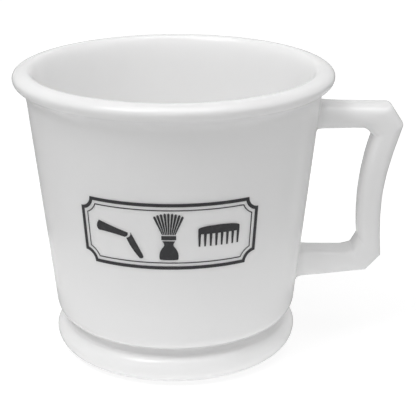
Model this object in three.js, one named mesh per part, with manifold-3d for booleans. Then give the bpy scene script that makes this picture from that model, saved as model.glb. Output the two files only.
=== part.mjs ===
// Shaving mug with a rolled rim, a cut-corner handle and a ring foot.
// Millimetres, +Z up. The origin is on the table, under the middle of the whole mug:
// the bowl's axis stands to the left of it, and the handle reaches out along +X.
import * as THREE from 'three';
import { mergeVertices } from 'three/addons/utils/BufferGeometryUtils.js';
import { TessellateModifier } from 'three/addons/modifiers/TessellateModifier.js';
import Module from 'manifold-3d';

// Driving dimensions
const rimRadius = 50;
const handleReach = 72.2;       // bowl axis to the outermost point of the handle
const gap = 0.3;                // clearance between neighbouring pieces
const turnSteps = 64;           // facets round the bowl

const wallRadiusAtTable = 36.75;  // the wall's cone, carried down to the table
const wallTaper = 0.11;         // outward growth per millimetre of height
const wallThickness = 3.5;

const cornerRadius = 5.5;       // rounding where the wall turns under
const cornerHeight = 16.5;      // height of that rounding's centre
const neckRadius = 33.6;        // groove between the bowl and its foot
const neckHeight = 9.55;        // the foot meets the bowl here
const neckTop = 10.6;           // the bowl's own part of the groove ends here
const floorThickness = 3.5;
const floorCorner = 9;          // fillet between floor and wall inside

const beadHeight = 89.15;       // centre of the rolled rim
const beadRadius = 45.8;
const beadCrown = 2.45;         // the bead's height above its widest point
const beadUnder = 3.2;          // and below it
const beadTuck = 1.2;           // the wall ends this far below the bead
const flareDepth = 8.5;         // how far the rim's inner rounding runs down the wall

const footRadius = 38.75;
const footWidestHeight = 6.1;
const footTopHeight = 9.05;
const footTread = 32.6;         // outer edge of the ring that touches the table
const footTreadInner = 29.8;
const footBore = 27.5;          // open middle under the bowl
const footBoreDraft = 0.6;      // the open middle widens this much towards the table
const footDraftHeight = 2;      // down to this height
const footCrownWidth = 4.2;     // rounding over the top of the ring

const handleHalfWidth = 5.8;    // half of the grip's width, along Y
const handleRoundness = 3.2;    // 2 is an ellipse, larger is squarer
const rootFlare = 0.9;          // how much the arms thicken at the wall
const rootFlareLength = 4;
const sectionSides = 14;

const plaqueHeight = 50.6;      // middle of the printed plaque
const plaqueTurn = -2.6;        // degrees round the bowl from straight in front
const plaqueHalfWidth = 27.4;
const plaqueHalfHeight = 10.6;
const plaqueNotch = 3.4;        // radius of the scooped corners
const borderLine = 1.05;
const inkClearance = 0.15;
const inkThickness = 0.3;
const inkFacet = 3;             // longest edge of a printed piece
const inkFacetPasses = 12;
const weldDistance = 1e-4;

const bowlAxisX = -(handleReach - rimRadius) / 2;

const wasm = await Module();
wasm.setup();

const white = { color: 0xf2f2f0, roughness: 0.22, metalness: 0 };
const ink = { color: 0x3c3c3f, roughness: 0.5, metalness: 0 };

const wallRadius = (height) => wallRadiusAtTable + wallTaper * height;
const taperAngle = Math.atan(wallTaper);

// Points on an ellipse's arc, from one angle to another in degrees, both ends included
function arc(centreX, centreY, radiusX, radiusY, startDegrees, endDegrees, steps) {
  return Array.from({ length: steps + 1 }, (_, step) => {
    const angle = THREE.MathUtils.degToRad(startDegrees + (endDegrees - startDegrees) * step / steps);
    return new THREE.Vector2(centreX + radiusX * Math.cos(angle), centreY + radiusY * Math.sin(angle));
  });
}

function revolve(profile) {
  return new THREE.LatheGeometry(profile, turnSteps, Math.PI / 2).rotateX(Math.PI / 2);
}

function toSolid(geometry) {
  const bare = geometry.clone();
  bare.deleteAttribute('normal');
  bare.deleteAttribute('uv');
  const merged = mergeVertices(bare, weldDistance);
  return new wasm.Manifold(new wasm.Mesh({
    numProp: 3,
    vertProperties: new Float32Array(merged.attributes.position.array),
    triVerts: new Uint32Array(merged.index.array),
  }));
}

function toGeometry(solid) {
  const mesh = solid.getMesh();
  const geometry = new THREE.BufferGeometry();
  geometry.setAttribute('position', new THREE.BufferAttribute(mesh.vertProperties, 3));
  geometry.setIndex(new THREE.BufferAttribute(mesh.triVerts, 1));
  return geometry;
}

// Tapered wall, rolled rim and floor, as one closed profile from axis to axis
function bowlGeometry() {
  const taperDegrees = THREE.MathUtils.radToDeg(taperAngle);
  const cornerX = wallRadius(cornerHeight) - cornerRadius / Math.cos(taperAngle);
  const underside = neckHeight + gap / 2;
  const floor = underside + floorThickness;
  const innerRadius = (height) => wallRadius(height) - wallThickness;
  const flareStart = beadHeight + beadCrown - flareDepth;
  const flareWidth = beadRadius - innerRadius(flareStart);
  const floorFilletHeight = floor + floorCorner;
  const floorFilletX = innerRadius(floorFilletHeight) - floorCorner;
  const wallTop = beadHeight - beadUnder - beadTuck;
  const outside = [
    new THREE.Vector2(0, underside),
    new THREE.Vector2(neckRadius, underside),
    new THREE.Vector2(neckRadius, neckTop),
    ...arc(cornerX, cornerHeight, cornerRadius, cornerRadius, -72, -taperDegrees, 6),
    new THREE.Vector2(wallRadius(wallTop), wallTop),
    ...arc(beadRadius, beadHeight, rimRadius - beadRadius, beadUnder, -80, 0, 5),
    ...arc(beadRadius, beadHeight, rimRadius - beadRadius, beadCrown, 0, 90, 5).slice(1),
  ];
  const inside = [
    ...arc(beadRadius, flareStart, flareWidth, flareDepth, 90, 180, 6).slice(1),
    ...arc(floorFilletX, floorFilletHeight, floorCorner, floorCorner, 0, -90, 6),
    new THREE.Vector2(0, floor),
  ];
  return revolve([...outside, ...inside]);
}

// Ring that the mug stands on, with a bulging edge and an open middle
function footGeometry() {
  const top = neckHeight - gap / 2;
  const crown = footRadius - footCrownWidth;
  const treadCurve = footRadius - footTread;
  const profile = [
    new THREE.Vector2(footBore, top),
    new THREE.Vector2(footBore + footBoreDraft, footDraftHeight),
    new THREE.Vector2(footTreadInner, 0),
    ...arc(footTread, footWidestHeight, treadCurve, footWidestHeight, -90, 0, 6),
    ...arc(crown, footWidestHeight, footRadius - crown, footTopHeight - footWidestHeight, 0, 90, 5).slice(1),
    new THREE.Vector2(neckRadius, top),
    new THREE.Vector2(footBore, top),
  ];
  return revolve(profile);
}

// Side outline of the handle, wall to wall: each station pairs a point of the outer edge
// with the point facing it on the inner edge, as [outer X, outer Z, inner X, inner Z].
const handleStations = [
  [43, 79.6, 43, 71.8],
  [49, 79.6, 49, 71.8],
  [56, 79.5, 55, 71.8],
  [64.5, 79.3, 58.5, 71.6],
  [68.7, 78.7, 60.9, 70.9],
  [71.3, 75.2, 62.0, 69.5],
  [72.2, 71.8, 62.2, 67.8],
  [70.6, 67.4, 61.4, 64.6],
  [68.5, 60.6, 59.9, 57.8],
  [67.0, 53.2, 59.0, 51.8],
  [66.3, 46.4, 58.6, 45.8],
  [66.2, 38.6, 58.6, 39.0],
  [66.6, 31.0, 59.0, 35.5],
  [66.2, 27.4, 58.5, 33.4],
  [63.8, 24.7, 56.9, 31.7],
  [61.2, 23.4, 54.2, 31.1],
  [54, 23.3, 50, 31.1],
  [46, 23.2, 45, 31.2],
  [37, 23.2, 37, 31.3],
];

function handleSection(outer, inner, extra) {
  const middle = outer.clone().add(inner).multiplyScalar(0.5);
  const half = outer.clone().sub(inner).multiplyScalar(0.5);
  const halfLength = half.length();
  return Array.from({ length: sectionSides }, (_, side) => {
    const angle = 2 * Math.PI * side / sectionSides;
    const power = 2 / handleRoundness;
    const along = Math.sign(Math.cos(angle)) * Math.abs(Math.cos(angle)) ** power;
    const across = Math.sign(Math.sin(angle)) * Math.abs(Math.sin(angle)) ** power;
    const reach = half.clone().multiplyScalar(along * (halfLength + extra) / halfLength);
    const point = middle.clone().add(reach);
    return [point.x, across * (handleHalfWidth + extra), point.y];
  });
}

// Thickening near the wall, falling to nothing over the flare's length
function flareAt(outerX, height) {
  const distance = outerX - wallRadius(height);
  const closeness = THREE.MathUtils.clamp(1 - distance / rootFlareLength, 0, 1);
  return rootFlare * closeness * closeness;
}

function handleGeometry() {
  const pointAt = (station, offset) => new THREE.Vector2(station[offset], station[offset + 1]);
  const outerCurve = new THREE.SplineCurve(handleStations.map((station) => pointAt(station, 0)));
  const innerCurve = new THREE.SplineCurve(handleStations.map((station) => pointAt(station, 2)));
  const steps = (handleStations.length - 1) * 2;
  const positions = [];
  for (let step = 0; step <= steps; step += 1) {
    const outer = outerCurve.getPoint(step / steps);
    const inner = innerCurve.getPoint(step / steps);
    const extra = flareAt((outer.x + inner.x) / 2, (outer.y + inner.y) / 2);
    positions.push(...handleSection(outer, inner, extra).flat());
  }
  const indices = [];
  for (let step = 0; step < steps; step += 1) {
    for (let side = 0; side < sectionSides; side += 1) {
      const next = (side + 1) % sectionSides;
      const a = step * sectionSides + side;
      const b = step * sectionSides + next;
      indices.push(a, a + sectionSides, b, b, a + sectionSides, b + sectionSides);
    }
  }
  const last = steps * sectionSides;
  for (let side = 1; side < sectionSides - 1; side += 1) {
    indices.push(0, side, side + 1);
    indices.push(last, last + side + 1, last + side);
  }
  const bar = new THREE.BufferGeometry();
  bar.setAttribute('position', new THREE.BufferAttribute(new Float32Array(positions), 3));
  bar.setIndex(indices);
  return toGeometry(toSolid(bar).subtract(toSolid(wallEnvelope())));
}

// Cone just outside the bowl's wall, used to cut the ends of the handle to it
function wallEnvelope() {
  const low = cornerHeight - cornerRadius;
  const high = beadHeight - beadUnder;
  return revolve([
    new THREE.Vector2(0, low),
    new THREE.Vector2(wallRadius(low) + gap, low),
    new THREE.Vector2(wallRadius(high) + gap, high),
    new THREE.Vector2(0, high),
  ]);
}

// Place on the outside of the wall, from millimetres along it, up it and out of it
function onWall(along, up, out) {
  const turn = along / wallRadius(plaqueHeight) + THREE.MathUtils.degToRad(plaqueTurn);
  const height = plaqueHeight + up;
  const radius = wallRadius(height) + inkClearance + out;
  return [radius * Math.sin(turn), -radius * Math.cos(turn), height];
}

// Flat printed shape wrapped onto the wall as a thin plate
function wrapOnWall(shape) {
  const flat = new THREE.ExtrudeGeometry(shape, { depth: inkThickness, bevelEnabled: false, curveSegments: 8 });
  const fine = new TessellateModifier(inkFacet, inkFacetPasses).modify(flat);
  const position = fine.attributes.position;
  for (let index = 0; index < position.count; index += 1) {
    position.setXYZ(index, ...onWall(position.getX(index), position.getY(index), position.getZ(index)));
  }
  fine.deleteAttribute('normal');
  fine.deleteAttribute('uv');
  return mergeVertices(fine, weldDistance);
}

// Outline of a rectangle with a quarter circle scooped out of each corner, anticlockwise.
// A larger inset gives the inner edge of the line, point for point beside the outer one.
function plaqueOutline(inset) {
  const scoop = plaqueNotch + inset;
  const tuck = Math.asin(inset / scoop);
  const cornerSigns = [[1, -1], [1, 1], [-1, 1], [-1, -1]];
  const scoops = cornerSigns.map(([signX, signY], corner) => {
    const turn = corner * 90;
    const startDegrees = 180 + turn - THREE.MathUtils.radToDeg(tuck);
    const endDegrees = 90 + turn + THREE.MathUtils.radToDeg(tuck);
    const centreX = signX * plaqueHalfWidth;
    const centreY = signY * plaqueHalfHeight;
    return arc(centreX, centreY, scoop, scoop, startDegrees, endDegrees, 5);
  });
  return scoops.flatMap((points, corner) => {
    const from = points[points.length - 1];
    const to = scoops[(corner + 1) % 4][0];
    const halfEdge = corner % 2 === 0 ? plaqueHalfHeight : plaqueHalfWidth;
    const steps = Math.ceil(2 * (halfEdge - plaqueNotch) / inkFacet);
    const edge = Array.from({ length: steps - 1 }, (_, step) => from.clone().lerp(to, (step + 1) / steps));
    return [...points, ...edge];
  });
}

// The plaque's line: a closed loop of four-sided sections wrapped on the wall
function borderGeometry() {
  const outer = plaqueOutline(0);
  const inner = plaqueOutline(borderLine);
  const count = outer.length;
  const positions = outer.flatMap((point, index) => [
    onWall(point.x, point.y, 0),
    onWall(point.x, point.y, inkThickness),
    onWall(inner[index].x, inner[index].y, inkThickness),
    onWall(inner[index].x, inner[index].y, 0),
  ]).flat();
  const indices = [];
  const sides = 4;
  for (let index = 0; index < count; index += 1) {
    for (let side = 0; side < sides; side += 1) {
      const a = index * sides + side;
      const b = index * sides + (side + 1) % sides;
      const c = ((index + 1) % count) * sides + side;
      const d = ((index + 1) % count) * sides + (side + 1) % sides;
      indices.push(a, c, b, b, c, d);
    }
  }
  const border = new THREE.BufferGeometry();
  border.setAttribute('position', new THREE.BufferAttribute(new Float32Array(positions), 3));
  border.setIndex(indices);
  return border;
}

// Shaving brush standing on its handle, middle of the plaque
function brushShape() {
  const shape = new THREE.Shape();
  shape.moveTo(-2.6, -7.4);
  shape.lineTo(2.6, -7.4);
  shape.quadraticCurveTo(3.3, -4.6, 1.5, -2.9);
  shape.quadraticCurveTo(0.9, -1.9, 2.1, -0.8);
  shape.lineTo(2.1, 0.9);
  shape.quadraticCurveTo(3.0, 4.2, 4.4, 6.0);
  shape.quadraticCurveTo(0, 8.8, -4.4, 6.0);
  shape.quadraticCurveTo(-3.0, 4.2, -2.1, 0.9);
  shape.lineTo(-2.1, -0.8);
  shape.quadraticCurveTo(-0.9, -1.9, -1.5, -2.9);
  shape.quadraticCurveTo(-3.3, -4.6, -2.6, -7.4);
  return shape;
}

// Straight razor, open at a wide angle, left of the brush
function razorShape() {
  const shape = new THREE.Shape();
  shape.moveTo(-21.5, 3.6);
  shape.lineTo(-11.6, 0.6);
  shape.lineTo(-8.0, -6.2);
  shape.quadraticCurveTo(-7.4, -7.4, -8.8, -7.3);
  shape.lineTo(-13.2, -0.9);
  shape.lineTo(-21.8, 0.2);
  shape.quadraticCurveTo(-23.2, 1.6, -21.5, 3.6);
  return shape;
}

// Barber's comb, right of the brush
function combShape() {
  const shape = new THREE.Shape();
  const teeth = 8;
  const left = 8.6;
  const pitch = 1.7;
  const top = 3.2;
  const toothRoot = 0.6;
  const toothTip = -3.4;
  const toothWidth = 0.85;
  shape.moveTo(left, top);
  shape.lineTo(left, toothTip);
  for (let tooth = 0; tooth < teeth; tooth += 1) {
    const start = left + tooth * pitch;
    shape.lineTo(start + toothWidth, toothTip);
    if (tooth < teeth - 1) {
      shape.lineTo(start + toothWidth, toothRoot);
      shape.lineTo(start + pitch, toothRoot);
      shape.lineTo(start + pitch, toothTip);
    }
  }
  shape.lineTo(left + (teeth - 1) * pitch + toothWidth, top);
  return shape;
}

function piece(name, geometry, finish) {
  const mesh = new THREE.Mesh(geometry, new THREE.MeshStandardMaterial(finish));
  mesh.name = name;
  return mesh;
}

const mug = new THREE.Group();
mug.position.x = bowlAxisX;
mug.add(piece('bowl', bowlGeometry(), white));
mug.add(piece('foot_ring', footGeometry(), white));
mug.add(piece('handle', handleGeometry(), white));
mug.add(piece('print_border', borderGeometry(), ink));
mug.add(piece('print_brush', wrapOnWall(brushShape()), ink));
mug.add(piece('print_razor', wrapOnWall(razorShape()), ink));
mug.add(piece('print_comb', wrapOnWall(combShape()), ink));

export default mug;
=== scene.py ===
import bmesh
import bpy
import math
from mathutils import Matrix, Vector


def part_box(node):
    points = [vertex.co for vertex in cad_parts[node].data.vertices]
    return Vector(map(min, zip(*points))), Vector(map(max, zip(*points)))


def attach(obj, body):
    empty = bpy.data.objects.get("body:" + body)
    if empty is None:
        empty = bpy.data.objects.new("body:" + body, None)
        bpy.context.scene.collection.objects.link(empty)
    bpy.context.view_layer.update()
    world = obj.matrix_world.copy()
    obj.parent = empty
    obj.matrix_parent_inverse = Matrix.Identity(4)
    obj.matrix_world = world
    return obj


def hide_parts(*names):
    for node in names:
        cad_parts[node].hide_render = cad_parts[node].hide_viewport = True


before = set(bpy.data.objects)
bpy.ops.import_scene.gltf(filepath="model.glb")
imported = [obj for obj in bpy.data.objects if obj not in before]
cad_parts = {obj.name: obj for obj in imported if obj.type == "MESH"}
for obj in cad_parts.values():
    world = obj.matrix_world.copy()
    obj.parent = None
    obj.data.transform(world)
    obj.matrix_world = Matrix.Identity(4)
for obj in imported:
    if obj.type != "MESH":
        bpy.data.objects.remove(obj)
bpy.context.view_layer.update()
scene = bpy.context.scene
millimetre = 0.001

bowlLow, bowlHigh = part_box("bowl")
bowlAxisX = (bowlLow.x + bowlHigh.x) / 2
rimRadius = (bowlHigh.x - bowlLow.x) / 2 / millimetre
mugHeight = bowlHigh.z / millimetre
print("frame loaded, bowl axis at", round(bowlAxisX, 4))


# one socket of a node tree; sums on it add Math nodes
class Wire:
    def __init__(self, tree, socket=None):
        self.tree = tree
        self.socket = socket

    def make(self, kind, settings=None, sockets=None, output=0):
        node = self.tree.nodes.new(kind)
        for name, value in (settings or {}).items():
            setattr(node, name, value)
        for name, value in (sockets or {}).items():
            if isinstance(value, Wire):
                self.tree.links.new(value.socket, node.inputs[name])
            else:
                node.inputs[name].default_value = value
        return Wire(self.tree, node.outputs[output])

    def other(self, output):
        return Wire(self.tree, self.socket.node.outputs[output])

    def maths(self, operation, *values):
        return self.make("ShaderNodeMath", {"operation": operation}, dict(enumerate(values)))

    def __add__(self, value):
        return self.maths("ADD", self, value)

    __radd__ = __add__

    def __sub__(self, value):
        return self.maths("SUBTRACT", self, value)

    def __rsub__(self, value):
        return self.maths("SUBTRACT", value, self)

    def __mul__(self, value):
        return self.maths("MULTIPLY", self, value)

    __rmul__ = __mul__

    def __truediv__(self, value):
        return self.maths("DIVIDE", self, value)

    def __abs__(self):
        return self.maths("ABSOLUTE", self)

    def ramp(self, low, high, toLow=0.0, toHigh=1.0):
        sockets = {"Value": self, "From Min": low, "From Max": high, "To Min": toLow, "To Max": toHigh}
        return self.make("ShaderNodeMapRange", {"interpolation_type": "SMOOTHSTEP"}, sockets)


# camera, lights and floor

cameraSet = {
    "distance": 404.7,   # in front of the bowl's axis, mm
    "height": 187.0,
    "pitch": 19.38,      # degrees down
    "turn": 1.5,         # degrees towards the handle
    "lens": 115.3,
    "sensor": 36,
    "nearest": 0.01,     # metres
}

studio = {
    "horizon": 0.615,        # brightness of the room, from the floor up to the dim ceiling
    "ceilingStart": 0.55,    # steepness of the look upwards where it begins to dim
    "ceilingEnd": 0.80,
    "poolRadii": (65, 110),  # the bright table round the foot, mm
    "poolGlow": (0.57, 0.32),
    "poolHeight": 0.05,
    "poolAim": 900,
    "floorHalf": 3.0,        # metres
    "floorTone": 0.55,
    "floorRoughness": 0.6,
    "floorGloss": 0.2,
    "paperGlow": 0.75,
    "paperDrop": 0.0002,     # metres
}

# places and aims in mm from the middle of the bowl's foot; without an aim a light looks at the mug's middle
studioLights = {
    "keyBox": {"place": (-400, -300, 900), "size": (500, 400), "watts": 3.1},
    "fillBox": {"place": (400, -300, 900), "size": (500, 400), "watts": 0.9},
    "frontBox": {"place": (0, -220, 900), "size": (400, 300), "watts": 0.60},
    "topBox": {"place": (0, -50, 700), "size": (500, 500), "watts": 1.05, "aim": (0, -50, 0)},
    "windowCard": {"place": (-120, -600, 110), "size": (260, 160), "watts": 0.05},
    "sparkRight": {"place": (260, -420, 420), "size": (14, 14), "watts": 0.010},
    "sparkLeft": {"place": (-300, -330, 430), "size": (14, 14), "watts": 0.010},
}


def makeCamera(values):
    data = bpy.data.cameras.new("mugCamera")
    data.lens = values["lens"]
    data.sensor_width = values["sensor"]
    data.clip_start = values["nearest"]
    camera = bpy.data.objects.new("mugCamera", data)
    camera.location = (bowlAxisX, -values["distance"] * millimetre, values["height"] * millimetre)
    camera.rotation_euler = (math.radians(90 - values["pitch"]), 0, math.radians(-values["turn"]))
    scene.collection.objects.link(camera)
    scene.camera = camera


def areaLight(name, place, aim, size, watts):
    data = bpy.data.lights.new(name, "AREA")
    data.shape = "RECTANGLE"
    data.size, data.size_y = (side * millimetre for side in size)
    data.energy = watts
    lamp = bpy.data.objects.new(name, data)
    axis = bowlAxisX / millimetre
    lamp.location = Vector((axis + place[0], *place[1:])) * millimetre
    target = Vector((axis + aim[0], *aim[1:])) * millimetre
    lamp.rotation_euler = (target - lamp.location).to_track_quat("-Z", "Y").to_euler()
    lamp.visible_camera = False
    scene.collection.objects.link(lamp)
    return lamp


def makeRoom(values):
    world = bpy.data.worlds.new("studioWorld")
    world.use_nodes = True
    tree = world.node_tree
    background = tree.nodes["Background"]
    background.inputs["Color"].default_value = (1, 1, 1, 1)
    start = Wire(tree)
    direction = start.make("ShaderNodeTexCoord", output="Generated")
    height = start.make("ShaderNodeSeparateXYZ", {}, {0: direction}, 2)
    strength = height.ramp(values["ceilingStart"], values["ceilingEnd"], values["horizon"], 0.0)
    tree.links.new(strength.socket, background.inputs["Strength"])
    scene.world = world
    scene.view_settings.view_transform = "Standard"


def makeLights(lights, values):
    middle = (0, 0, mugHeight / 2)
    for name, light in lights.items():
        areaLight(name, light["place"], light.get("aim", middle), light["size"], light["watts"])
    for radius, glow in zip(values["poolRadii"], values["poolGlow"]):
        watts = glow * (math.pi * radius * millimetre) ** 2
        place, up = (0, 0, values["poolHeight"]), (0, 0, values["poolAim"])
        pool = areaLight("tablePool" + str(radius), place, up, (1, 1), watts)
        pool.data.shape = "DISK"
        pool.data.size = 2 * radius * millimetre
        pool.visible_glossy = radius == max(values["poolRadii"])     # the near pool would glare in the foot


# materials; lengths in metres

plasticFinish = {
    "white": (0.985, 0.983, 0.982, 1),
    "shade": (0.968, 0.964, 0.962, 1),
    "roughness": 0.17,
    "ior": 1.49,
    "scatter": 0.8,
    "scatterReach": 0.0022,
    "cloudScale": 28.0,
    "cloudTone": 0.55,       # how far each one pulls the colour towards the shade
    "flowScale": 9.0,
    "flowTone": 0.25,
    "scuffTone": 0.35,
    "rubScale": 320.0,
    "rubStretch": (1, 1, 9),
    "waveScale": 190.0,
    "waveHeight": 0.012,
    "rubHeight": 0.002,
    "seamHeight": 0.05,
    "scuffHeight": 0.004,    # rub marks near the table
    "seamStart": -0.030,     # mould seam on the side away from the handle
    "seamHalf": 0.00018,
    "bumpDepth": 0.0006,
}

inkFinish = {
    "dark": (0.030, 0.030, 0.033, 1),
    "worn": (0.055, 0.055, 0.058, 1),
    "roughness": 0.42,
    "ior": 1.5,
    "mottleScale": 900.0,
    "patchScale": 90.0,
    "bumpDepth": 0.00005,
}


def startMaterial(name):
    material = bpy.data.materials.new(name)
    material.use_nodes = True
    tree = material.node_tree
    shader = tree.nodes["Principled BSDF"]
    return material, tree, shader


def colourMix(wire, factor, first, second):     # 6, 7 and output 2 are the Mix node's colour sockets
    return wire.make("ShaderNodeMix", {"data_type": "RGBA"}, {0: factor, 6: first, 7: second}, 2)


def noise(wire, place, scale, detail, distortion=0.0):
    sockets = {"Vector": place, "Scale": scale, "Detail": detail, "Distortion": distortion}
    return wire.make("ShaderNodeTexNoise", {}, sockets)


def feed(tree, shader, links):
    for name, value in links.items():
        if isinstance(value, Wire):
            tree.links.new(value.socket, shader.inputs[name])
        else:
            shader.inputs[name].default_value = value


def mugPlastic(values):
    material, tree, shader = startMaterial("mugPlastic")
    start = Wire(tree)
    place = start.make("ShaderNodeTexCoord", output="Object")
    axisPlace = start.make("ShaderNodeMapping", {}, {"Vector": place, "Location": (-bowlAxisX, 0, 0)})
    axes = start.make("ShaderNodeSeparateXYZ", {}, {0: axisPlace})
    x, y, z = axes, axes.other(1), axes.other(2)
    cloud = noise(start, place, values["cloudScale"], 3.0)
    flow = noise(start, place, values["flowScale"], 2.0, 1.2)
    scuff = z.ramp(0.0, values["scuffHeight"], 1.0, 0.0)
    tone = cloud * values["cloudTone"] + flow * values["flowTone"] + scuff * values["scuffTone"]
    colour = colourMix(start, tone, values["white"], values["shade"])
    stretched = start.make("ShaderNodeMapping", {}, {"Vector": place, "Scale": values["rubStretch"]})
    rubs = noise(start, stretched, values["rubScale"], 2.0)
    haze = rubs.ramp(0.55, 0.75, 0.0, 0.05)
    roughness = cloud * 0.06 + haze + scuff * 0.2 + (values["roughness"] - 0.03)
    wave = noise(start, place, values["waveScale"], 1.0)
    back = x.ramp(values["seamStart"], values["seamStart"] - 0.001, 0.0, 1.0)
    seam = (abs(y) / values["seamHalf"]).ramp(0.0, 1.0, 1.0, 0.0) * back
    height = wave * values["waveHeight"] + rubs * values["rubHeight"] + seam * values["seamHeight"]
    bump = start.make("ShaderNodeBump", {}, {
        "Height": height, "Strength": 0.35, "Distance": values["bumpDepth"]})
    feed(tree, shader, {
        "Base Color": colour,
        "Roughness": roughness,
        "Normal": bump,
        "IOR": values["ior"],
        "Subsurface Weight": values["scatter"],
        "Subsurface Radius": (1, 1, 1),
        "Subsurface Scale": values["scatterReach"],
    })
    return material


def printedInk(values):
    material, tree, shader = startMaterial("printedInk")
    start = Wire(tree)
    place = start.make("ShaderNodeTexCoord", output="Object")
    mottle = noise(start, place, values["mottleScale"], 3.0)
    patch = noise(start, place, values["patchScale"], 2.0)
    thin = mottle.ramp(0.5, 0.72) * 0.6 + patch.ramp(0.5, 0.8) * 0.4
    colour = colourMix(start, thin, values["dark"], values["worn"])
    roughness = mottle * 0.14 + (values["roughness"] - 0.07)
    bump = start.make("ShaderNodeBump", {}, {
        "Height": mottle, "Strength": 0.2, "Distance": values["bumpDepth"]})
    feed(tree, shader, {"Base Color": colour, "Roughness": roughness, "Normal": bump, "IOR": values["ior"]})
    return material


def paleFloor(name, values, glow):
    material, tree, shader = startMaterial(name)
    tone = values["floorTone"]
    feed(tree, shader, {
        "Base Color": (tone, tone, tone, 1),
        "Roughness": values["floorRoughness"],
        "Specular IOR Level": values["floorGloss"],
        "Emission Color": (1, 1, 1, 1),
        "Emission Strength": glow,
    })
    return material


def floorSheet(name, height, values, glow):
    half = values["floorHalf"]
    corners = [(x, y, height) for x, y in ((-half, -half), (half, -half), (half, half), (-half, half))]
    mesh = bpy.data.meshes.new(name)
    mesh.from_pydata(corners, [], [(0, 1, 2, 3)])
    mesh.materials.append(paleFloor(name, values, glow))
    piece = bpy.data.objects.new(name, mesh)
    scene.collection.objects.link(piece)
    return piece


def makeFloor(values):
    bounce = floorSheet("tableTop", 0, values, 0)     # throws light up at the mug
    bounce.visible_camera = False
    bounce.visible_shadow = False
    # the floor that shows
    paper = floorSheet("tablePaper", -values["paperDrop"], values, values["paperGlow"])
    paper.visible_diffuse = False
    paper.visible_glossy = False
    paper.visible_transmission = False


# geometry nodes: start a tree, close it, run it on a mesh

def newTree(name, inputs):
    tree = bpy.data.node_groups.new(name, "GeometryNodeTree")
    tree.interface.new_socket("Geometry", in_out="INPUT", socket_type="NodeSocketGeometry")
    for label, kind, value in inputs:
        socket = tree.interface.new_socket(label, in_out="INPUT", socket_type=kind)
        if value is not None:
            socket.default_value = value
    tree.interface.new_socket("Geometry", in_out="OUTPUT", socket_type="NodeSocketGeometry")
    return tree


def treeInputs(tree):
    start = tree.nodes.new("NodeGroupInput")
    return {output.name: Wire(tree, output) for output in start.outputs if output.name}


def closeTree(geometry, material):
    real = geometry.make("GeometryNodeRealizeInstances", {}, {0: geometry})
    dressed = real.make("GeometryNodeSetMaterial", {}, {"Geometry": real, "Material": material})
    end = geometry.tree.nodes.new("NodeGroupOutput")
    geometry.tree.links.new(dressed.socket, end.inputs[0])


def runTree(name, mesh, tree, values):
    source = bpy.data.objects.new(name + "Source", mesh)
    scene.collection.objects.link(source)
    modifier = source.modifiers.new(name, "NODES")
    modifier.node_group = tree
    sockets = {item.name: item.identifier for item in tree.interface.items_tree if item.in_out == "INPUT"}
    for label, value in values.items():
        modifier[sockets[label]] = value
    graph = bpy.context.evaluated_depsgraph_get()
    result = bpy.data.meshes.new_from_object(source.evaluated_get(graph))
    source.modifiers.remove(modifier)
    bpy.data.objects.remove(source)
    piece = bpy.data.objects.new(name, result)
    result.name = name
    scene.collection.objects.link(piece)
    return piece


def facingOut(mesh):
    shape = bmesh.new()
    shape.from_mesh(mesh)
    bmesh.ops.remove_doubles(shape, verts=shape.verts, dist=1e-7)
    bmesh.ops.recalc_face_normals(shape, faces=shape.faces)
    if shape.calc_volume(signed=True) < 0:
        bmesh.ops.reverse_faces(shape, faces=shape.faces)
    shape.to_mesh(mesh)
    shape.free()


# bowl and foot: one profile turned about the bowl's axis, in mm

bowl = {
    "turnSteps": 192,
    "wallAtTable": 36.8,     # the wall's cone, carried down to the table
    "wallTaper": 0.11,
    "wallThickness": 3.5,
    "cornerRadius": 5.5,
    "cornerHeight": 16.5,
    "grooveHeight": 10.4,
    "grooveRadius": 1.35,
    "grooveCentre": 35.75,
    "footRadius": 38.75,
    "footWidest": 6.1,
    "footTop": 9.05,
    "tread": (29.8, 32.6),   # the flat ring on the table
    "recessRadius": 27.5,
    "recessCorner": 2,
    "recessDraft": (0.5, 2.2),     # the recess widens this much, down to this height
    "floorUnder": 9.7,
    "floorTop": 13.2,
    "floorFillet": 9.0,
    "beadCentre": 45.8,
    "beadHeight": 89.15,
    "beadCrown": 2.45,       # the rim above its widest point, and below it
    "beadUnder": 3.2,
    "beadTuck": 4.4,         # height of the cove under the bead
    "tuckBend": 0.72,        # the wall runs straight for this share of it
    "tuckPull": (1.3, 0.9),  # how far the cove keeps the bead's direction
    "beadStart": -48,        # degrees round the bead where the cove ends
    "flareDepth": 8.5,
    "flarePull": (1.9, 4.7),
    "gateRadius": 1.7,
    "gateDepth": 0.45,
    "gateEdge": (0.3, 0.5),  # its rounding inside and outside that radius
}


def wallRadius(height):
    return bowl["wallAtTable"] + bowl["wallTaper"] * height


def innerRadius(height):
    return wallRadius(height) - bowl["wallThickness"]


def arc(centre, radii, start, end, steps):
    angles = [math.radians(start + (end - start) * step / steps) for step in range(steps + 1)]
    return [(centre[0] + radii[0] * math.cos(a), centre[1] + radii[1] * math.sin(a)) for a in angles]


def line(start, end, steps):
    across, up = end[0] - start[0], end[1] - start[1]
    return [(start[0] + across * step / steps, start[1] + up * step / steps) for step in range(steps + 1)]


def bezier(points, steps):
    curve = []
    degree = len(points) - 1
    for step in range(steps + 1):
        t = step / steps
        weights = [math.comb(degree, k) * t ** k * (1 - t) ** (degree - k) for k in range(degree + 1)]
        curve.append(tuple(sum(w * p[axis] for w, p in zip(weights, points)) for axis in (0, 1)))
    return curve


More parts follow.
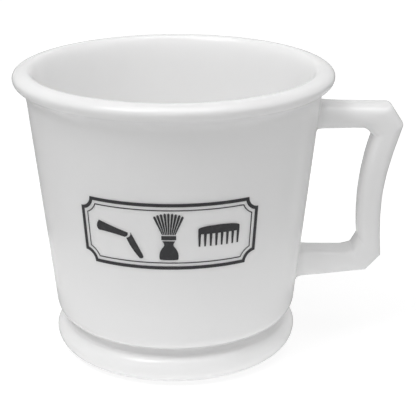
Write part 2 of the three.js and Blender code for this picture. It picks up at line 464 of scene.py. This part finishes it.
def mugProfile(values):
    taper = math.degrees(math.atan(values["wallTaper"]))
    corner, wallFoot = values["cornerRadius"], values["cornerHeight"]
    cornerX = wallRadius(wallFoot) - corner / math.cos(math.radians(taper))
    bead = (values["beadCentre"], values["beadHeight"])
    beadReach = rimRadius - values["beadCentre"]
    top = values["beadHeight"] + values["beadCrown"]
    flareEnd = top - values["flareDepth"]
    under, floor, fillet = values["floorUnder"], values["floorTop"], values["floorFillet"]
    gate, gateFoot = values["gateRadius"], under - values["gateDepth"]
    treadIn, treadOut = values["tread"]
    gateIn, gateOut = gate - values["gateEdge"][0], gate + values["gateEdge"][1]
    recess, fold = values["recessRadius"], values["recessCorner"]
    draft, draftHeight = values["recessDraft"]
    widest, foot = values["footWidest"], values["footRadius"]
    crown = values["grooveCentre"]
    beadUnderside = arc(bead, (beadReach, values["beadUnder"]), values["beadStart"], 0, 20)
    beadFoot, (pullIn, pullDown) = beadUnderside[0], values["tuckPull"]
    crownPull, wallPull = values["flarePull"]
    tuckFoot = values["beadHeight"] - values["beadUnder"] - values["beadTuck"]
    tuckBend = tuckFoot + values["beadTuck"] * values["tuckBend"]
    filletCentre = innerRadius(floor + fillet) - fillet / math.cos(math.radians(taper))
    stretches = [
        line((0, gateFoot), (gateIn, gateFoot), 3),
        bezier([(gateIn, gateFoot), (gate, gateFoot), (gate + 0.1, under - 0.1), (gateOut, under)], 6),
        line((gateOut, under), (recess - fold, under), 14),
        arc((recess - fold, under - fold), (fold, fold), 90, 0, 8),
        line((recess, under - fold), (recess + draft, draftHeight), 5),
        bezier([(recess + draft, draftHeight), (recess + 0.7, 0.3), (treadIn - 1.4, 0), (treadIn, 0)], 10),
        line((treadIn, 0), (treadOut, 0), 4),
        arc((treadOut, widest), (foot - treadOut, widest), -90, 0, 22),
        arc((crown, widest), (foot - crown, values["footTop"] - widest), 0, 90, 16),
        arc((crown, values["grooveHeight"]), (values["grooveRadius"],) * 2, -90, -262, 14),
        arc((cornerX, wallFoot), (corner, corner), -72, -taper, 18),
        line((wallRadius(wallFoot), wallFoot), (wallRadius(tuckFoot), tuckFoot), 60)[1:],
        bezier([(wallRadius(tuckFoot), tuckFoot), (wallRadius(tuckBend), tuckBend),
                (beadFoot[0] - pullIn, beadFoot[1] - pullDown), beadFoot], 10),
        beadUnderside,
        arc(bead, (beadReach, values["beadCrown"]), 0, 90, 18),
        bezier([(bead[0], top), (bead[0] - crownPull, top),
                (innerRadius(flareEnd + wallPull), flareEnd + wallPull),
                (innerRadius(flareEnd), flareEnd)], 18),
        line((innerRadius(flareEnd), flareEnd), (innerRadius(floor + fillet), floor + fillet), 44),
        arc((filletCentre, floor + fillet), (fillet, fillet), -taper, -90, 20),
        line((filletCentre, floor), (0, floor), 16),
    ]
    points = []
    for stretch in stretches:
        for point in stretch:
            if not points or math.dist(point, points[-1]) > 0.01:
                points.append(point)
    return points


def turnedTree():
    tree = newTree("turnAboutAxis", [
        ("Turn Steps", "NodeSocketInt", 64),
        ("Axis X", "NodeSocketFloat", 0.0),
        ("Material", "NodeSocketMaterial", None),
    ])
    given = treeInputs(tree)
    profile, steps = given["Geometry"], given["Turn Steps"]
    count = profile.make("GeometryNodeAttributeDomainSize", {"component": "MESH"}, {0: profile})
    grid = profile.make("GeometryNodeMeshGrid", {}, {
        "Size X": 1.0, "Size Y": 1.0, "Vertices X": steps + 1, "Vertices Y": count})
    index = profile.make("GeometryNodeInputIndex")
    whole = {"operation": "DIVIDE_FLOOR"}
    column = profile.make("FunctionNodeIntegerMath", whole, {0: index, 1: count})
    row = profile.make("FunctionNodeIntegerMath", {"operation": "MODULO"}, {0: index, 1: count})
    place = profile.make("GeometryNodeInputPosition")
    sample = profile.make("GeometryNodeSampleIndex", {"data_type": "FLOAT_VECTOR", "domain": "POINT"},
                          {"Geometry": profile, "Value": place, "Index": row})
    parts = profile.make("ShaderNodeSeparateXYZ", {}, {0: sample})
    radius, height = parts, parts.other(2)
    angle = column * (2 * math.pi) / steps
    spun = profile.make("ShaderNodeCombineXYZ", {}, {
        "X": radius * angle.maths("COSINE", angle) + given["Axis X"],
        "Y": radius * angle.maths("SINE", angle),
        "Z": height})
    skin = profile.make("GeometryNodeSetPosition", {}, {"Geometry": grid, "Position": spun})
    closed = profile.make("GeometryNodeMergeByDistance", {}, {"Geometry": skin, "Distance": 1e-6})
    smooth = profile.make("GeometryNodeSetShadeSmooth", {}, {"Geometry": closed, "Shade Smooth": True})
    closeTree(smooth, given["Material"])
    return tree


def makeBowl(material):
    points = mugProfile(bowl)
    mesh = bpy.data.meshes.new("mugProfile")
    corners = [(radius * millimetre, 0, height * millimetre) for radius, height in points]
    mesh.from_pydata(corners, [(k, k + 1) for k in range(len(corners) - 1)], [])
    piece = runTree("mugBowl", mesh, turnedTree(), {
        "Turn Steps": bowl["turnSteps"], "Axis X": bowlAxisX, "Material": material})
    facingOut(piece.data)
    print("bowl turned,", len(piece.data.polygons), "faces")
    return piece


# handle: a rounded bar lofted between its outer and inner edge, in mm

grip = {
    "halfWidth": 5.8,
    "squareness": 3.2,       # 2 is an ellipse, larger is squarer
    "sideFillet": 2.6,       # flare of the arms towards the wall, along Y
    "edgeFillet": 0.6,       # and up and down
    "rootReach": 8.0,
    "rootEase": 0.6,         # below 1, an arm takes its height soon after the wall
    "sides": 48,
    "hem": 0.3,              # the fillet runs on this far under the wall's skin
    "rootSteps": (-1.0, -0.03, 0, 0.06, 0.15, 0.3, 0.5, 0.8, 1.2, 1.7, 2.3, 3.0, 3.8, 4.8, 6.0, 7.0),
    "bendFullness": 0.6,
    "bendRoom": 0.48,        # share of a straight side that one corner may use
    "straightSteps": 5,
    "bendSteps": 7,
}

# each row: outer X, Z and rounding, then the facing inner X, Z and rounding, mm from the bowl's axis
gripOutline = [
    (53.5, 79.6, 40, 53.5, 71.75, 40),
    (58.0, 79.5, 40, 56.0, 71.8, 40),
    (68.0, 79.35, 1.6, 60.3, 71.75, 4.2),
    (72.2, 72.9, 1.2, 62.5, 69.1, 0.5),
    (69.3, 63.5, 30, 60.9, 63.4, 30),
    (67.55, 56.6, 40, 59.6, 56.8, 40),
    (66.45, 49.8, 40, 58.75, 49.6, 40),
    (66.1, 43.0, 40, 58.55, 43.0, 40),
    (66.2, 36.6, 30, 58.75, 38.0, 30),
    (66.65, 29.0, 0.6, 58.95, 35.4, 0.5),
    (61.8, 23.95, 0.6, 57.1, 31.9, 0.8),
    (56.0, 23.5, 40, 54.0, 31.1, 3),
    (47.5, 22.6, 40, 47.5, 31.2, 40),
]

# each arm: its outer edge's height at the wall and where the bar starts, then its inner edge's
rootHeights = {
    "upper": ((80.2, 79.6), (71.6, 71.75)),
    "lower": ((21.6, 22.6), (31.5, 31.2)),
}


def roundedPath(corners):
    straightSteps, fullness = grip["straightSteps"], grip["bendFullness"]
    points = [Vector(corner[:2]) for corner in corners]
    path = [points[0]]
    for before, here, after, corner in zip(points, points[1:], points[2:], corners[1:]):
        backward, forward = before - here, after - here
        angle = backward.angle(forward)
        room = grip["bendRoom"] * min(backward.length, forward.length)
        trim = min(corner[2] / math.tan(angle / 2), room)
        start, end = here + backward.normalized() * trim, here + forward.normalized() * trim
        path.extend(path[-1].lerp(start, step / straightSteps) for step in range(1, straightSteps))
        bend = bezier([start, start.lerp(here, fullness), end.lerp(here, fullness), end], grip["bendSteps"])
        path.extend(Vector(point) for point in bend)
    path.extend(path[-1].lerp(points[-1], step / straightSteps) for step in range(1, straightSteps + 1))
    return path


def superCircle(angle, squareness):
    power = 2 / squareness
    return tuple(math.copysign(abs(part) ** power, part) for part in (math.cos(angle), math.sin(angle)))


def gripRing(outer, inner, extraAlong, extraAcross):
    middle, half = (outer + inner) / 2, (outer - inner) / 2
    ring = []
    for side in range(grip["sides"]):
        along, across = superCircle(2 * math.pi * side / grip["sides"], grip["squareness"])
        reach = middle + half * along * (half.length + extraAlong) / half.length
        ring.append(Vector((reach.x, across * (grip["halfWidth"] + extraAcross), reach.y)))
    return ring


def filletAt(distance, radius):
    short = max(0.0, radius - max(distance, 0.0))
    return radius - math.sqrt(radius * radius - short * short)


def rootRings(outerHeights, innerHeights, armX):
    rings = []
    middleHeight = (outerHeights[0] + innerHeights[0]) / 2
    for distance in grip["rootSteps"]:
        share = max(distance, 0) / grip["rootReach"]
        planeX = wallRadius(middleHeight) + (armX - wallRadius(middleHeight)) * share
        ease = share * share * (3 - 2 * share)     # from the wall's curve to a flat ring
        lead = share ** grip["rootEase"]
        outerZ = outerHeights[0] + (outerHeights[1] - outerHeights[0]) * lead
        innerZ = innerHeights[0] + (innerHeights[1] - innerHeights[0]) * lead
        hem = grip["hem"] if distance < 0 else 0
        flares = filletAt(distance, grip["edgeFillet"]) + hem, filletAt(distance, grip["sideFillet"]) + hem
        ring = gripRing(Vector((planeX, outerZ)), Vector((planeX, innerZ)), *flares)
        for point in ring:
            reach = wallRadius(point.z) + distance
            onWall = math.sqrt(max(reach * reach - point.y * point.y, 0))
            point.x = onWall + (planeX - onWall) * ease
        rings.append(ring)
    return rings


def makeHandle(material):
    outerPath = roundedPath([row[:3] for row in gripOutline])
    innerPath = roundedPath([row[3:] for row in gripOutline])
    body = [gripRing(outer, inner, 0, 0) for outer, inner in zip(outerPath, innerPath)]
    upper = rootRings(*rootHeights["upper"], gripOutline[0][0])
    lower = rootRings(*rootHeights["lower"], gripOutline[-1][0])
    rings = upper + body + lower[::-1]
    sides = grip["sides"]
    corners = [(point.x * millimetre + bowlAxisX, point.y * millimetre, point.z * millimetre)
               for ring in rings for point in ring]
    faces = []
    for ring in range(len(rings) - 1):
        for side in range(sides):
            a, b = ring * sides + side, ring * sides + (side + 1) % sides
            faces.append((a, b, b + sides, a + sides))
    last = (len(rings) - 1) * sides
    faces.append(tuple(range(sides)))
    faces.append(tuple(range(last + sides - 1, last - 1, -1)))
    mesh = bpy.data.meshes.new("mugHandle")
    mesh.from_pydata(corners, [], faces)
    facingOut(mesh)
    mesh.polygons.foreach_set("use_smooth", [True] * len(mesh.polygons))
    piece = bpy.data.objects.new("mugHandle", mesh)
    scene.collection.objects.link(piece)
    mesh.materials.append(material)
    print("handle lofted,", len(mesh.polygons), "faces")
    return piece


# print: flat outlines in mm, wrapped on the wall

plaque = {
    "height": 50.6,      # middle of the plaque
    "turn": -2.6,        # degrees round the bowl
    "halfWidth": 27.4,
    "halfHeight": 10.6,
    "notch": 3.4,        # radius of the scooped corners
    "line": 1.05,
    "hairlineInset": 2.0,
    "hairline": 0.32,
    "lift": 0.02,
    "thickness": 0.05,
    "slice": 0.9,        # longest flat stretch before it is bent
}


def plaqueOutline(inset):
    scoop = plaque["notch"] + inset
    tuck = math.degrees(math.asin(inset / scoop))
    points = []
    for corner, (signX, signY) in enumerate([(1, -1), (1, 1), (-1, 1), (-1, -1)]):
        centre = (signX * plaque["halfWidth"], signY * plaque["halfHeight"])
        points.extend(arc(centre, (scoop, scoop), 180 + corner * 90 - tuck, 90 + corner * 90 + tuck, 14))
    return points


def bandBetween(outer, inner):
    count = len(outer)
    corners = outer + inner
    faces = [(k, (k + 1) % count, count + (k + 1) % count, count + k) for k in range(count)]
    return corners, faces


def flatShape(points):
    return list(points), [tuple(range(len(points)))]


def joined(shapes):
    corners, faces = [], []
    for points, polygons in shapes:
        base = len(corners)
        corners.extend(points)
        faces.extend(tuple(index + base for index in polygon) for polygon in polygons)
    return corners, faces


def slicedMesh(name, shape):
    corners, faces = shape
    mesh = bpy.data.meshes.new(name)
    mesh.from_pydata([(x, y, 0) for x, y in corners], [], faces)
    cutter = bmesh.new()
    cutter.from_mesh(mesh)
    bmesh.ops.triangulate(cutter, faces=cutter.faces)
    low = min(x for x, _ in corners)
    high = max(x for x, _ in corners)
    for cut in range(1, int((high - low) / plaque["slice"]) + 1):
        everything = cutter.verts[:] + cutter.edges[:] + cutter.faces[:]
        place = (low + cut * plaque["slice"], 0, 0)
        bmesh.ops.bisect_plane(cutter, geom=everything, plane_co=place, plane_no=(1, 0, 0), dist=1e-5)
    bmesh.ops.remove_doubles(cutter, verts=cutter.verts, dist=1e-4)
    bmesh.ops.recalc_face_normals(cutter, faces=cutter.faces)
    if cutter.faces[:] and cutter.faces[:][0].normal.z < 0:
        bmesh.ops.reverse_faces(cutter, faces=cutter.faces)
    cutter.to_mesh(mesh)
    cutter.free()
    return mesh


def wrapTree():
    tree = newTree("wrapOnWall", [
        ("Middle Height", "NodeSocketFloat", 0.0),
        ("Turn", "NodeSocketFloat", 0.0),
        ("Wall At Table", "NodeSocketFloat", 0.0),
        ("Taper", "NodeSocketFloat", 0.0),
        ("Lift", "NodeSocketFloat", 0.0),
        ("Thickness", "NodeSocketFloat", 0.0),
        ("Axis X", "NodeSocketFloat", 0.0),
        ("Material", "NodeSocketMaterial", None),
    ])
    given = treeInputs(tree)
    flat, taper, table = given["Geometry"], given["Taper"], given["Wall At Table"]
    place = flat.make("GeometryNodeInputPosition")
    parts = flat.make("ShaderNodeSeparateXYZ", {}, {0: place})
    height = parts.other(1) + given["Middle Height"]
    angle = parts / (table + taper * given["Middle Height"]) + given["Turn"]
    radius = table + taper * height + given["Lift"]
    onWall = flat.make("ShaderNodeCombineXYZ", {}, {
        "X": radius * angle.maths("SINE", angle) * millimetre + given["Axis X"],
        "Y": radius * angle.maths("COSINE", angle) * -millimetre,
        "Z": height * millimetre})
    bent = flat.make("GeometryNodeSetPosition", {}, {"Geometry": flat, "Position": onWall})
    raised = flat.make("GeometryNodeExtrudeMesh", {"mode": "FACES"}, {
        "Mesh": bent, "Offset Scale": given["Thickness"] * millimetre, "Individual": False})
    turned = flat.make("GeometryNodeFlipFaces", {}, {0: bent})
    both = tree.nodes.new("GeometryNodeJoinGeometry")
    tree.links.new(raised.socket, both.inputs[0])
    tree.links.new(turned.socket, both.inputs[0])
    whole = Wire(tree, both.outputs[0])
    closed = flat.make("GeometryNodeMergeByDistance", {}, {"Geometry": whole, "Distance": 1e-7})
    closeTree(closed, given["Material"])
    return tree


def printMark(name, shape, tree, material):
    piece = runTree(name, slicedMesh(name + "Flat", shape), tree, {
        "Middle Height": plaque["height"], "Turn": math.radians(plaque["turn"]),
        "Wall At Table": bowl["wallAtTable"], "Taper": bowl["wallTaper"],
        "Lift": plaque["lift"], "Thickness": plaque["thickness"],
        "Axis X": bowlAxisX, "Material": material})
    return piece


def borderMark():
    line = plaque["line"]
    inset = plaque["hairlineInset"]
    outer = bandBetween(plaqueOutline(0), plaqueOutline(line))
    hair = bandBetween(plaqueOutline(inset), plaqueOutline(inset + plaque["hairline"]))
    return joined([outer, hair])


def repeatTree():
    tree = newTree("repeatAlongLine", [
        ("Count", "NodeSocketInt", 8),
        ("Start", "NodeSocketVector", None),
        ("Pitch", "NodeSocketFloat", 1.0),
        ("Fan", "NodeSocketFloat", 0.0),
        ("Outer Shortening", "NodeSocketFloat", 0.0),
        ("Material", "NodeSocketMaterial", None),
    ])
    given = treeInputs(tree)
    single, count = given["Geometry"], given["Count"]
    step = single.make("ShaderNodeCombineXYZ", {}, {"X": given["Pitch"]})
    places = single.make("GeometryNodeMeshLine", {"mode": "OFFSET"}, {
        "Count": count, "Start Location": given["Start"], "Offset": step})
    index = single.make("GeometryNodeInputIndex")
    share = index / (count - 1) - 0.5
    lean = single.make("ShaderNodeCombineXYZ", {}, {"Z": 0 - share * given["Fan"]})
    length = 1 - share * share * given["Outer Shortening"]
    stretch = single.make("ShaderNodeCombineXYZ", {}, {"X": 1.0, "Y": length, "Z": 1.0})
    copies = single.make("GeometryNodeInstanceOnPoints", {}, {
        "Points": places, "Instance": single, "Rotation": lean, "Scale": stretch})
    closeTree(copies, given["Material"])
    return tree


def repeated(name, shape, values, material):
    corners, faces = shape
    single = bpy.data.meshes.new(name + "Single")
    single.from_pydata([(x, y, 0) for x, y in corners], [], faces)
    row = runTree(name, single, repeatTree(), {**values, "Material": material})
    places = [corner.co.xy for corner in row.data.vertices]
    polygons = [tuple(face.vertices) for face in row.data.polygons]
    bpy.data.objects.remove(row)
    return places, polygons


def mirrored(points):
    return points + [(-x, y) for x, y in reversed(points)]


brush = {
    "bristles": 9,
    "fan": 44,           # degrees between the outermost bristles
    "footWidth": 3.6,
    "footHeight": 0.75,
    "length": 6.55,
    "shortening": 0.34,
    "width": 0.72,
    "footThickness": 0.32,
}


def brushMark(material):
    handle = mirrored([
        *bezier([(0.0001, -7.5), (2.5, -7.5), (2.75, -7.3)], 5),
        *bezier([(2.75, -7.3), (3.2, -4.9), (1.6, -3.2)], 8),
        *bezier([(1.6, -3.2), (1.0, -2.4), (1.9, -1.35)], 6),
    ])
    collar = [(-2.15, -0.95), (2.15, -0.95), (2.15, 0.35), (-2.15, 0.35)]
    thin, wide, length = brush["footThickness"] / 2, brush["width"] / 2, brush["length"]
    bristle = flatShape([(-thin, 0), (thin, 0), (wide, length), (0, length + wide), (-wide, length)])
    bristles = repeated("printBristles", bristle, {
        "Count": brush["bristles"], "Start": (-brush["footWidth"] / 2, brush["footHeight"], 0),
        "Pitch": brush["footWidth"] / (brush["bristles"] - 1), "Fan": math.radians(brush["fan"]),
        "Outer Shortening": brush["shortening"]}, material)
    return joined([flatShape(handle), flatShape(collar), bristles])


def razorMark():
    blade = [
        (-21.4, 3.5),
        *bezier([(-12.2, 0.75), (-12.0, -0.4), (-13.2, -0.75)], 4),
        *bezier([(-13.2, -0.75), (-18.0, 0.3), (-21.7, 0.3)], 6)[1:],
        *bezier([(-21.7, 0.3), (-23.0, 1.4), (-21.4, 3.5)], 6)[1:-1],
    ]
    scales = [
        *bezier([(-11.3, 0.9), (-9.8, -2.2), (-7.9, -6.0)], 6),
        *bezier([(-7.9, -6.0), (-7.3, -7.5), (-8.9, -7.2)], 5)[1:],
        *bezier([(-8.9, -7.2), (-11.6, -4.0), (-12.7, -1.0)], 6)[1:],
        *bezier([(-12.7, -1.0), (-11.2, -0.6), (-11.3, 0.9)], 4)[1:-1],
    ]
    return joined([flatShape(blade), flatShape(scales)])


comb = {
    "teeth": 8,
    "left": 8.6,
    "pitch": 1.7,
    "top": 3.2,
    "root": 0.6,
    "tip": -3.4,
    "tooth": 0.85,
    "taper": 0.18,
}


def combMark(material):
    left, top, root, tip = comb["left"], comb["top"], comb["root"], comb["tip"]
    right = left + (comb["teeth"] - 1) * comb["pitch"] + comb["tooth"]
    middle = (left + right) / 2
    spine = [
        (left, root), (right, root),
        *bezier([(right, top - 1), (right - 0.3, top), (middle, top + 0.1)], 8),
        *bezier([(middle, top + 0.1), (left + 0.3, top), (left, top - 1)], 8)[1:],
    ]
    half, taper = comb["tooth"] / 2, comb["taper"]
    tooth = flatShape([(taper - half, tip - root), (half - taper, tip - root), (half, 0), (-half, 0)])
    teeth = repeated("printTeeth", tooth, {
        "Count": comb["teeth"], "Start": (left + half, root, 0), "Pitch": comb["pitch"]}, material)
    return joined([flatShape(spine), teeth])


# put it together

makeCamera(cameraSet)
makeRoom(studio)
makeLights(studioLights, studio)
makeFloor(studio)
print("camera, lights and floor made")

plastic = mugPlastic(plasticFinish)
darkInk = printedInk(inkFinish)

bowlPiece = makeBowl(plastic)
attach(bowlPiece, "root")
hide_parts("bowl", "foot_ring")

handlePiece = makeHandle(plastic)
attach(handlePiece, "root")
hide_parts("handle")

wrap = wrapTree()
marks = {
    "printBorder": ("print_border", borderMark()),
    "printBrush": ("print_brush", brushMark(darkInk)),
    "printRazor": ("print_razor", razorMark()),
    "printComb": ("print_comb", combMark(darkInk)),
}
for name, (node, shape) in marks.items():
    mark = printMark(name, shape, wrap, darkInk)
    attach(mark, "root")
    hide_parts(node)
print("print wrapped on the wall")
